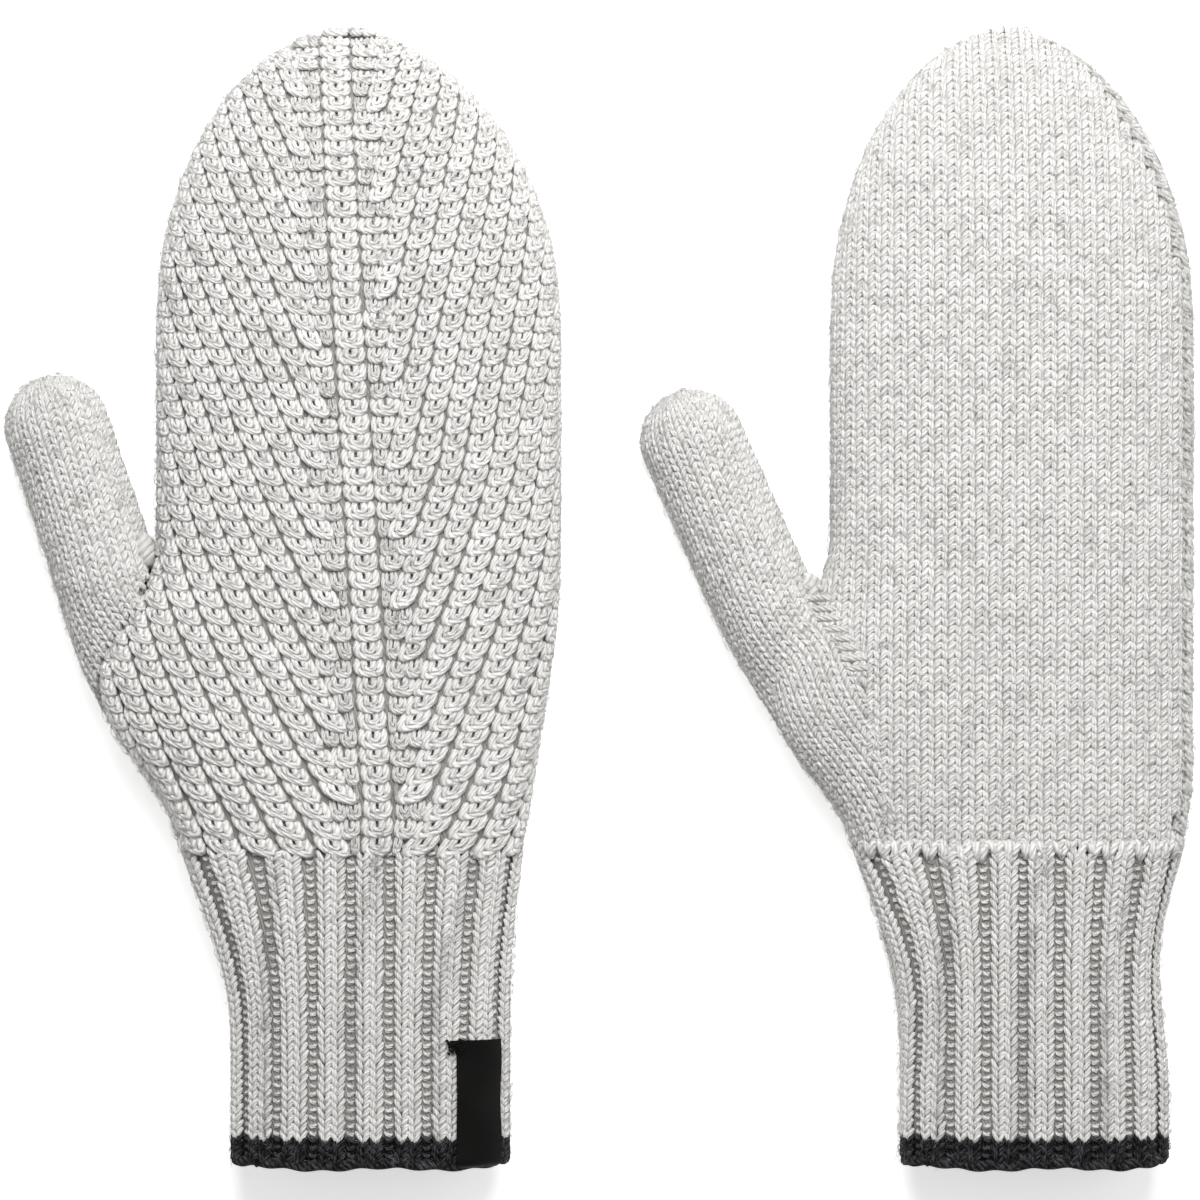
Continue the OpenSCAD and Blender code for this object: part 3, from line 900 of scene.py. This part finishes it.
def back(hand):
    """The back, with its ribs fanning from the middle."""
    skin, flip = SKINS[hand], hand == "left"
    random = np.random.default_rng(21 + flip)
    bottom, top = float(skin.s_of(WRIST)), skin.s[-1]
    rows = loop_rows(skin)
    low, high = panel_edges(hand, rows, True)
    heights = np.interp(rows, skin.s, skin.y)
    spacing = np.gradient(rows)
    made = {key: [] for key in ("s", "q", "wide", "slant", "tone", "tall", "lift", "tilt")}

    def put(*values):
        for key, value in zip(made, values):
            made[key].append(value)

    for s, y, step, a, b in zip(rows, heights, spacing, low, high):
        pitch, tall = rib_pitch(y), step / LOOP
        put(s, 0.0, CENTRE_WIDE, 0.0, 1.0, tall, 0.0, 0.0)
        for side, limit in ((-1, -a), (1, b)):
            grown = (s - bottom) / RIB_RISE + 0.2
            if side > 0:
                grown -= max(0.0, s - bottom - 90) * 0.02
            for k in range(-20, math.floor(grown) + 1):
                climbed = grown - k
                distance = FAN_START + pitch * climbed
                room = limit - distance + 0.5 * pitch
                if room < 0.22 * pitch:
                    continue
                fresh = max(0.0, 1 - climbed * 3.2)
                wide = pitch * (1.07 - 0.1 * fresh)
                if room < 0.6 * pitch:
                    # A rib that runs out at the panel's edge
                    distance += (room - pitch) / 2
                    wide = room * 1.1
                slant = side * pitch / RIB_RISE * 0.62
                # A new rib stands higher and gets a raised tone: painted light on the fresh lump
                put(s, side * distance, wide, slant, 1.0 + 0.25 * fresh, tall, 0.45 * fresh,
                    side * 0.27)
            inner = CENTRE_WIDE / 2 + 0.5
            outer = FAN_START + pitch * (grown - math.floor(grown)) - pitch / 2 + 0.3
            if limit < outer + 1:
                continue
            columns = max(1, round((outer - inner) / 4.6))
            wide = (outer - inner) / columns
            for column in range(columns):
                place = side * (inner + (column + 0.5) * wide) + random.uniform(-0.3, 0.3)
                rise = random.uniform(-0.5, 0.5)
                # Filling cups sit a little lower and get a slightly lower tone: painted shade
                put(s + rise, place, wide * 1.15, side * 0.1, 0.95, tall * 0.92, -0.25,
                    random.uniform(-0.12, 0.12))
    made = {key: np.array(v) for key, v in made.items()}
    made["lift"] += 0.9 * smooth((made["s"] - top + 8) / 6)
    for seed, (part, start, end) in enumerate(halves(skin)):
        knit = Knit(21 + 2 * seed + flip)
        on = (made["s"] < end) & ((made["s"] >= start) | (part == "hand"))
        chosen = {key: values[on] for key, values in made.items()}
        knit.stitches(skin, fisherman_cup(), wobble=0.045, flip=flip, **chosen)
        knit.fuzz(skin, chosen["s"], chosen["q"], FUZZ["ribbed"], flip)
        s_cloth = np.linspace(start, min(end, top - 0.6), 36)
        low, high = panel_edges(hand, s_cloth, True)
        knit.cloth(skin, s_cloth, low, high, RIBBED_CLOTH_SHADED, flip)
        piece = knit.make(f"{hand}_back_{part}_knit", finish_named("Ribbed wool"))
        body_blend(piece)
        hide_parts(f"{hand}_back_{part}")


def thumb(hand):
    """The thumb and its gusset, in plain knitting that runs on from the palm."""
    skin, sleeve, palm_up = SKINS[hand], SLEEVES[hand], hand == "left"
    knit = Knit(31 if palm_up else 32)
    s_rows = np.arange(1.0, sleeve.s[-1] - 1.0, ROW)
    columns = np.arange(-sleeve.columns, sleeve.columns) + 0.5
    s_all, q_all = [a.ravel() for a in np.meshgrid(s_rows, columns * WALE, indexing="ij")]
    keep = sleeve_shows(hand, s_all, q_all)
    s_all, q_all = s_all[keep], q_all[keep]
    narrow = np.maximum(np.cos(np.interp(s_all, sleeve.s, sleeve.turn)), 0.3)
    knit.stitches(sleeve, plain_stitch(), s_all, q_all, lift=-0.5 * (1 - narrow))
    knit.fuzz(sleeve, s_all, q_all, FUZZ["plain"])
    s_cloth = np.append(np.arange(0, sleeve.s[-1] - 1, 2.0), sleeve.s[-1] - 0.2)
    q_cloth = np.linspace(-sleeve.columns * WALE, sleeve.columns * WALE, 97)
    grid_s, grid_q = np.meshgrid(s_cloth, q_cloth, indexing="ij")
    shows = sleeve_shows(hand, grid_s.ravel(), grid_q.ravel(), 3.0).reshape(grid_s.shape)
    used = shows[:-1, :-1] & shows[1:, :-1] & shows[:-1, 1:] & shows[1:, 1:]
    knit.sheet(sleeve, grid_s, grid_q, used, PLAIN_CLOTH_SHADED)
    piece = knit.make(f"{hand}_thumb_knit", finish_named("Plain wool"))
    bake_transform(piece)
    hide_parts(f"{hand}_gusset", f"{hand}_thumb")


def sleeve_shows(hand, s, q, margin=0.0):
    """True where the sleeve isn't covered by the palm or the back."""
    skin, sleeve, palm_up = SKINS[hand], SLEEVES[hand], hand == "left"
    place = sleeve.at(s, q, np.zeros(len(s)))
    x, y = place[:, 0] - skin.x0, place[:, 1] - skin.y0
    palm_side = (q > 0) == palm_up
    fork, root = FORK[hand], ROOT[hand]
    beyond_fork = (side_of(fork, x, y) > 0.9 + margin) & (y < fork[-1][1])
    sign = -1 if palm_up else 1
    rise, plane = skin.height(x, y)
    buried = (rise > 0) & (rise - sign * (place[:, 2] - plane) > 1.0 + margin) & (y < root[1] + 6)
    outline = np.interp(y, skin.y, skin.x_middle - skin.width)
    buried |= (x - outline > 5.0 + margin) & (y < root[1])
    early = (y < root[0]) & (np.abs(q) > 1.0 + margin)
    return np.where(palm_side, ~beyond_fork, ~(buried | early)) & (y > 79.4 - margin)


def cuff_place(skin, s, share):
    """q and width of a share of the way round; the cuff widens only at its two sides."""
    around = np.interp(s, skin.s, skin.around)
    narrow = skin.around[5:70].min()
    centre = -np.interp(s, skin.s, skin.x_line)

    def place(f):
        part = 0.8 if f < 0 else 0.2
        return f * narrow + (around - narrow) * np.sign(f) * part * smooth((abs(f) - 0.02) / 0.3)

    return centre + place(share), (place(share + 0.02) - place(share - 0.02)) / 0.04


def cuff(hand):
    """The ribbed cuff and its dark edge, all the way round."""
    skin = SKINS[hand]
    edge_top = setting("edge_height")
    spans = (("cuff_knit", edge_top, 78.0, "Plain wool", "cuff_wool", "cuff"),
             ("edge_knit", RIM, edge_top, "Charcoal wool", "charcoal_wool", "cuff_edge"))
    for k, (name, low, high, finish, slot, node) in enumerate(spans):
        knit = Knit(41 + k + (2 if hand == "left" else 0))
        rows = np.arange(low + 0.5, high - 0.4, CUFF_ROW)
        arch, bars = plain_stitch(), (purl_bump(1), purl_bump(-1))
        legs = {side: rib_leg(side) for side in (-1, 1)}
        for rib in range(CUFF_RIBS):
            share = (rib + 0.5) / CUFF_RIBS - 0.5
            q, wide = cuff_place(skin, rows, share)
            scale = wide / CUFF_RIBS / CUFF_RIB
            slant = np.gradient(q, rows)
            knit.stitches(skin, arch, rows, q, wide=0.9 * scale, slant=slant, lift=0.05)
            for side in (-1, 1):
                knit.stitches(skin, legs[side], rows, q, wide=1.01 * scale, slant=slant)
            q, wide = cuff_place(skin, rows, share + 0.5 / CUFF_RIBS)
            for odd in (0, 1):
                knit.stitches(skin, bars[odd], rows[odd::2] + 0.6, q[odd::2],
                              tone=2.4 if name == "edge_knit" else 1.0)
        half = np.interp(rows, skin.s, skin.around) / 2
        knit.fuzz(skin, np.repeat(rows, 9), (half[:, None] * np.linspace(-1, 1, 9)).ravel(),
                  round(22 * (high - low)))
        s_cloth = np.arange(low, high + 0.1, (high - low) / max(2, round((high - low) / 4)))
        half = np.interp(s_cloth, skin.s, skin.around) / 2
        knit.cloth(skin, s_cloth, -half, half, CUFF_CLOTH_SHADED, across=72)
        if name == "edge_knit":
            roll(knit, skin, low - 0.8)
        piece = knit.make(f"{hand}_{name}", finish_named(finish))
        body_blend(piece)
        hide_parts(f"{hand}_{node}")


def roll(knit, skin, s):
    """The rolled, slightly wavy rim of the cuff's mouth."""
    turn = np.linspace(-0.5, 0.5, 181)
    around = np.interp(s, skin.s, skin.around)
    wave = 0.25 * np.sin(turn * FULL_TURN * CUFF_RIBS) + 0.35 * np.sin(turn * FULL_TURN * 5)
    path = skin.at(s + wave, turn * around, np.full(181, -1.9))
    knit.tube(path, 1.35, 8, 0.8)


def side_seams(hand):
    """The whip-stitched joins up both sides of the hand and round the tip."""
    skin, flip = SKINS[hand], hand == "left"
    knit = Knit(51 + flip)
    top = skin.s[-1]
    s = np.arange(skin.s_of(79.5), top - 4.0, 1.2)
    left, right = skin.edges(s)
    y = np.interp(s, skin.s, skin.y)
    wrap = setting("back_wrap") * smooth((top - s) / 30)
    for q, keep in ((right + wrap, y > 0), (left - 1.0, y < ROOT[hand][0]),
                    (left - 1.0, y > ROOT[hand][1])):
        path = skin.at(s[keep], q[keep], np.full(keep.sum(), SEAM_DEPTH), flip)
        if len(path) < 4:
            continue
        knit.tube(path, SEAM_YARN, 6, 0.6)
        steps = np.arange(1, keep.sum() - 1, 2)
        a, b = s[keep][steps], q[keep][steps]
        for one, place in zip(a, b):
            lean = knit.random.uniform(0.6, 1.6)
            ends = np.array([[-1.7, -lean], [-0.6, -lean * 0.3], [0.6, lean * 0.3], [1.7, lean]])
            bow = np.array([-1.4, -0.5, -0.5, -1.4])
            whip = skin.at(one + ends[:, 1], place + ends[:, 0], bow, flip)
            knit.tube(whip, WHIP_YARN, 5, 0.8)
    ends = [skin.at(s[-2:], q[-2:], np.full(2, SEAM_DEPTH), flip)
            for q in (left - 1.0, right + wrap)]
    crown = (ends[0][-1] + ends[1][-1]) / 2
    crown[1] = skin.y0 + skin.y[-1] - 0.8
    knit.tube(np.array([*ends[0], crown, *ends[1][::-1]]), SEAM_YARN, 6, 0.6)
    piece = knit.make(f"{hand}_side_seams", finish_named("Seam yarn"))
    body_blend(piece)
    parts = ("little_seam", "thumb_seam")
    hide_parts(*[f"{hand}_{p}_{h}" for p in parts for h in ("hand", "fingers")])


def root_seam(hand):
    """The join between the thumb and the back."""
    skin, flip = SKINS[hand], hand == "left"
    knit = Knit(61 + flip)
    y = np.arange(ROOT[hand][0] - 1, ROOT[hand][1] + 1, 1.3)
    s = skin.s_of(y)
    outline = np.interp(s, skin.s, skin.x_middle - skin.width)
    q = skin.q_of(s, outline + 2.2 * smooth((y - y[0]) / 6) * smooth((y[-1] - y) / 6))
    path = skin.at(s, q, np.full(len(s), -1.8), flip)
    knit.tube(path, SEAM_YARN, 6, 0.5)
    ends = np.array([[-2.0, -1.0], [-0.7, -0.3], [0.7, 0.3], [2.0, 1.0]])
    bow = np.array([-2.2, -0.9, -0.8, -1.8])
    for one, place in zip(s[1:-1:2], q[1:-1:2]):
        whip = skin.at(one + ends[:, 1], place + ends[:, 0], bow, flip)
        knit.tube(whip, WHIP_YARN, 5, 0.75)
    gathers(knit, hand)
    piece = knit.make(f"{hand}_root_seam_yarn", finish_named("Seam yarn"))
    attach(piece, f"{hand}_hand")
    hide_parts(f"{hand}_root_seam")


def gathers(knit, hand):
    """The short drawn-up stitches that fill the crotch of the thumb on the palm's side."""
    skin, sleeve, up = SKINS[hand], SLEEVES[hand], 1 if hand == "left" else -1
    side = sleeve.points[:, ::2] - skin.mouth
    middle = side.shape[1] // 2
    side = (side[:, middle:] if up > 0 else side[:, : middle + 1]).reshape(-1, 3)
    line = np.array(FORK[hand])
    y = np.linspace(line[2, 1] - 7.0, line[2, 1] - 0.6, 5)
    x = np.interp(y, line[:, 1], line[:, 0]) + 0.4
    plug = np.stack([x, y, np.interp(y, skin.y, skin.z_middle)], 1) + skin.mouth
    knit.tube(plug, np.array([3.2, 3.6, 3.6, 3.2, 2.2]), 10, 0.6)
    for y in np.arange(line[1, 1] + 1.5, line[2, 1] - 3.0, 2.35):
        x = np.interp(y, line[:, 1], line[:, 0]) + np.linspace(-3.6, 4.4, 7)
        height = y + 0.9 * np.sin(np.linspace(0.3, 2.6, 7)) + knit.random.uniform(-0.3, 0.3)
        rise, plane = skin.height(x, height)
        level = np.where(rise > 0, up * plane + rise, -99.0)
        for k in range(7):
            near = np.hypot(side[:, 0] - x[k], side[:, 1] - height[k]).argmin()
            level[k] = max(level[k], up * side[near, 2])
        level[1:-1] = (level[:-2] + 2 * level[1:-1] + level[2:]) / 4
        drop = np.array([2.0, 1.0, 0.5, 0.4, 0.5, 1.0, 2.0])
        path = np.stack([x, height, up * (level - drop)], 1) + skin.mouth
        knit.tube(path, np.array([0.5, 0.75, 0.82, 0.82, 0.82, 0.75, 0.5]), 6, 0.85)


def cuff_link(hand):
    """The row of larger stitches that links the cuff to the hand."""
    skin = SKINS[hand]
    knit = Knit(71 + (hand == "left"))
    s = float(skin.s_of(79.0))
    around = np.interp(s, skin.s, skin.around)
    count = round(around / 3.9)
    q = (np.arange(count) + 0.5) / count * around - around / 2
    upper = np.abs(q) < around / 4
    tucked = upper if hand == "right" else ~upper
    # Tucked stitches sit lower and get a low tone, painted shade; the others stand out and get a
    # raised tone, painted light
    knit.stitches(skin, plain_stitch(), np.full(count, s), q, wide=1.2, wobble=0.1,
                  tall=np.where(tucked, 1.0, 1.45), lift=np.where(tucked, -1.5, 0.2),
                  tone=np.where(tucked, 0.2, 1.25))
    piece = knit.make(f"{hand}_link_row", finish_named("Plain wool"))
    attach(piece, f"{hand}_hand")
    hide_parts(f"{hand}_cuff_link")


def thumb_tip(hand):
    """The last stitches of the thumb, drawn together."""
    skin, sleeve = SKINS[hand], SLEEVES[hand]
    knit = Knit(81 + (hand == "left"))
    centre = sleeve.root + sleeve.along * (sleeve.length - 0.4) + skin.mouth
    across, up = sleeve.across, np.array([0.0, 0.0, 1.0])
    for k in range(11):
        turn = k * FULL_TURN / 11 + knit.random.uniform(-0.15, 0.15)
        out = across * math.cos(turn) + up * math.sin(turn)
        reach = knit.random.uniform(3.2, 4.2)
        path = [centre + out * reach - sleeve.along * 1.6,
                centre + out * reach * 0.55 - sleeve.along * 0.5,
                centre + out * 0.3 - sleeve.along * 1.2]
        knit.tube(np.array(path), (0.5, 0.75, 0.4), 5, 0.8)
    piece = knit.make(f"{hand}_thumb_gather", finish_named("Seam yarn"))
    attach(piece, f"{hand}_thumb")
    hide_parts(f"{hand}_thumb_tip")


def label():
    """The satin label, folded over the edge of the right cuff."""
    skin = SKINS["right"]
    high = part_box("label")[1]
    x_high = high.x / MM - skin.x0
    x_low = x_high - setting("label_width")
    top = high.y / MM - skin.y0 + 3.0
    across, rows = 10, 64
    bpy.ops.object.select_all(action="DESELECT")
    bpy.ops.mesh.primitive_grid_add(x_subdivisions=across, y_subdivisions=rows, size=1)
    piece = bpy.context.object
    piece.name = "label_satin"
    corners = len(piece.data.vertices)
    flat = np.zeros(corners * 3)
    piece.data.vertices.foreach_get("co", flat)
    flat = flat.reshape(-1, 3)
    x = x_low + (flat[:, 0] + 0.5) * (x_high - x_low)
    fold, inside = 2.3, setting("label_tuck")
    straight = top - RIM
    total = straight + math.pi * fold + inside
    run = (0.5 - flat[:, 1]) * total
    turn = np.clip((run - straight) / fold, 0, math.pi)
    s = np.where(run < straight, top - run, RIM + np.maximum(run - straight - math.pi * fold, 0))
    x -= 1.6 * smooth((4 - run) / 4) * (0.5 - flat[:, 0])
    lift = -1.9 + fold * np.cos(turn) + 0.25 * np.sin(run * 0.33) * np.cos(x * 0.35)
    place = skin.at(s, skin.q_of(s, x), lift)
    place[:, 1] -= np.sin(turn) * fold * 0.8
    piece.data.vertices.foreach_set("co", (place * MM).ravel())
    solidify = piece.modifiers.new("Thickness", "SOLIDIFY")
    solidify.thickness = 0.3 * MM
    solidify.offset = 0
    bpy.ops.object.modifier_apply(modifier="Thickness")
    bpy.ops.object.shade_smooth_by_angle(angle=math.radians(50))
    piece.data.materials.append(satin())
    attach(piece, "right_cuff")
    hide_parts("label")
    knit = Knit(91)
    for _ in range(34):
        a = (x_low + knit.random.uniform(-2.2, 1.2), top + knit.random.uniform(-3.0, -0.6))
        b = (a[0] + knit.random.uniform(-0.9, 0.9), a[1] + knit.random.uniform(-0.6, 1.3))
        t = np.linspace(0, 1, 4)
        s, x = a[1] + (b[1] - a[1]) * t, a[0] + (b[0] - a[0]) * t
        knit.tube(skin.at(s, skin.q_of(s, x), 0.3 + 0.7 * np.sin(t * math.pi)), 0.24, 5, 0.4)
    tack = knit.make("label_tack", finish_named("Label thread"))
    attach(tack, "right_cuff")
    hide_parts("label_stitching")


# ---------------------------------------------------------------------------------------------
# Add-on

# Name, place, side in metres and power in watts of each light; the camera looks straight down
LIGHTS = (
    ("Overhead light", (0.04, 0.45, 0.7), 0.5, 8.7),
    ("Left light", (-1.3, 0.1, 1.1), 0.9, 1.5),
    ("Right light", (1.2, 0.3, 1.2), 0.9, 4.0),
)
CAMERA_HEIGHT = 1.2
LENS = 148.2


class MittenSettings(bpy.types.PropertyGroup):
    """Sizes and colours of the mittens."""

    back_wrap: bpy.props.FloatProperty(
        name="Back wrap", description="How far the back comes round on to the palm",
        default=0.0076, min=0.002, max=0.012, unit="LENGTH")
    edge_height: bpy.props.FloatProperty(
        name="Edge height", description="Height of the cuff's dark edge above its mouth",
        default=0.0096, min=0.007, max=0.03, unit="LENGTH")
    label_width: bpy.props.FloatProperty(
        name="Label width", description="Width of the folded label",
        default=0.0101, min=0.01, max=0.02, unit="LENGTH")
    label_tuck: bpy.props.FloatProperty(
        name="Label tuck", description="Length of the label that is tucked inside the cuff",
        default=0.015, min=0.005, max=0.03, unit="LENGTH")
    pale_wool: bpy.props.FloatVectorProperty(
        name="Pale wool", description="Lightest fibres of the marled yarn", subtype="COLOR",
        default=(0.94, 0.925, 0.90), min=0, max=1)
    grey_wool: bpy.props.FloatVectorProperty(
        name="Grey wool", description="Darkest fibres of the marled yarn", subtype="COLOR",
        default=(0.38, 0.362, 0.345), min=0, max=1)
    dark_wool: bpy.props.FloatVectorProperty(
        name="Edge wool", description="Charcoal yarn of the cuff's edge", subtype="COLOR",
        default=(0.062, 0.062, 0.067), min=0, max=1)
    label_colour: bpy.props.FloatVectorProperty(
        name="Label", description="Satin of the label", subtype="COLOR",
        default=(0.0036, 0.0036, 0.0034), min=0, max=1)


class MITTENS_OT_palms(bpy.types.Operator):
    """Knits both palms"""

    bl_idname = "mittens.palms"
    bl_label = "Palms"

    def execute(self, context):
        for hand in HANDS:
            palm(hand)
        return {"FINISHED"}


class MITTENS_OT_backs(bpy.types.Operator):
    """Knits both backs"""

    bl_idname = "mittens.backs"
    bl_label = "Backs"

    def execute(self, context):
        for hand in HANDS:
            back(hand)
        return {"FINISHED"}


class MITTENS_OT_thumbs(bpy.types.Operator):
    """Knits both thumbs with their gussets and gathers their tips"""

    bl_idname = "mittens.thumbs"
    bl_label = "Thumbs"

    def execute(self, context):
        for hand in HANDS:
            thumb(hand)
            thumb_tip(hand)
        return {"FINISHED"}


class MITTENS_OT_cuffs(bpy.types.Operator):
    """Knits both cuffs, their dark edges and their linking rows"""

    bl_idname = "mittens.cuffs"
    bl_label = "Cuffs"

    def execute(self, context):
        for hand in HANDS:
            cuff(hand)
            cuff_link(hand)
        return {"FINISHED"}


class MITTENS_OT_seams(bpy.types.Operator):
    """Sews the side seams and the root seams of the thumbs"""

    bl_idname = "mittens.seams"
    bl_label = "Seams"

    def execute(self, context):
        for hand in HANDS:
            side_seams(hand)
            root_seam(hand)
        return {"FINISHED"}


class MITTENS_OT_label(bpy.types.Operator):
    """Folds the label over the right cuff and tacks it down"""

    bl_idname = "mittens.label"
    bl_label = "Label"

    def execute(self, context):
        label()
        return {"FINISHED"}


class MITTENS_OT_stage(bpy.types.Operator):
    """Sets up the floor, the lights and the camera"""

    bl_idname = "mittens.stage"
    bl_label = "Stage"

    def execute(self, context):
        bpy.ops.object.select_all(action="DESELECT")
        bpy.ops.mesh.primitive_plane_add(size=8, location=(0, 0, -MM))
        floor = bpy.context.object
        floor.name = "Floor"
        material = bpy.data.materials.new("Pale floor")
        material.use_nodes = True
        principled = material.node_tree.nodes["Principled BSDF"]
        set_inputs(principled, {"Base Color": (0.93, 0.93, 0.93, 1), "Roughness": 0.9,
                                "Emission Color": (1, 1, 1, 1), "Emission Strength": 0.5})
        floor.data.materials.append(material)
        for name, place, size, power in LIGHTS:
            bpy.ops.object.light_add(type="AREA", location=place)
            light = bpy.context.object
            light.name = name
            light.data.shape = "SQUARE"
            light.data.size = size
            light.data.energy = power
            light.rotation_mode = "QUATERNION"
            light.rotation_quaternion = (-light.location).to_track_quat("-Z", "Y")
        world = bpy.data.worlds.new("Studio")
        world.use_nodes = True
        set_inputs(world.node_tree.nodes["Background"], {"Color": (1, 1, 1, 1), "Strength": 0.27})
        context.scene.world = world
        context.scene.view_settings.view_transform = "Standard"
        bpy.ops.object.camera_add(location=(0, 0, CAMERA_HEIGHT), rotation=(0, 0, 0))
        camera = bpy.context.object
        camera.data.sensor_width = 36
        camera.data.lens = LENS
        context.scene.camera = camera
        return {"FINISHED"}


class MITTENS_PT_panel(bpy.types.Panel):
    """Lists the steps in the sidebar"""

    bl_label = "Knitted Mittens"
    bl_idname = "MITTENS_PT_panel"
    bl_space_type = "VIEW_3D"
    bl_region_type = "UI"
    bl_category = "Mittens"

    def draw(self, context):
        for name in MittenSettings.__annotations__:
            self.layout.prop(context.scene.mittens, name)
        for step in STEPS:
            self.layout.operator(step.bl_idname)


STEPS = (MITTENS_OT_stage, MITTENS_OT_palms, MITTENS_OT_backs, MITTENS_OT_thumbs,
         MITTENS_OT_cuffs, MITTENS_OT_seams, MITTENS_OT_label)
CLASSES = (MittenSettings, *STEPS, MITTENS_PT_panel)


def register():
    """Adds the classes and the settings."""
    for cls in CLASSES:
        bpy.utils.register_class(cls)
    bpy.types.Scene.mittens = bpy.props.PointerProperty(type=MittenSettings)


def unregister():
    """Takes the settings and the classes away again."""
    del bpy.types.Scene.mittens
    for cls in reversed(CLASSES):
        bpy.utils.unregister_class(cls)


def main():
    """Makes the whole scene."""
    register()
    for name in ("stage", "palms", "backs", "thumbs", "cuffs", "seams", "label"):
        getattr(bpy.ops.mittens, name)()


if __name__ == "__main__":
    main()
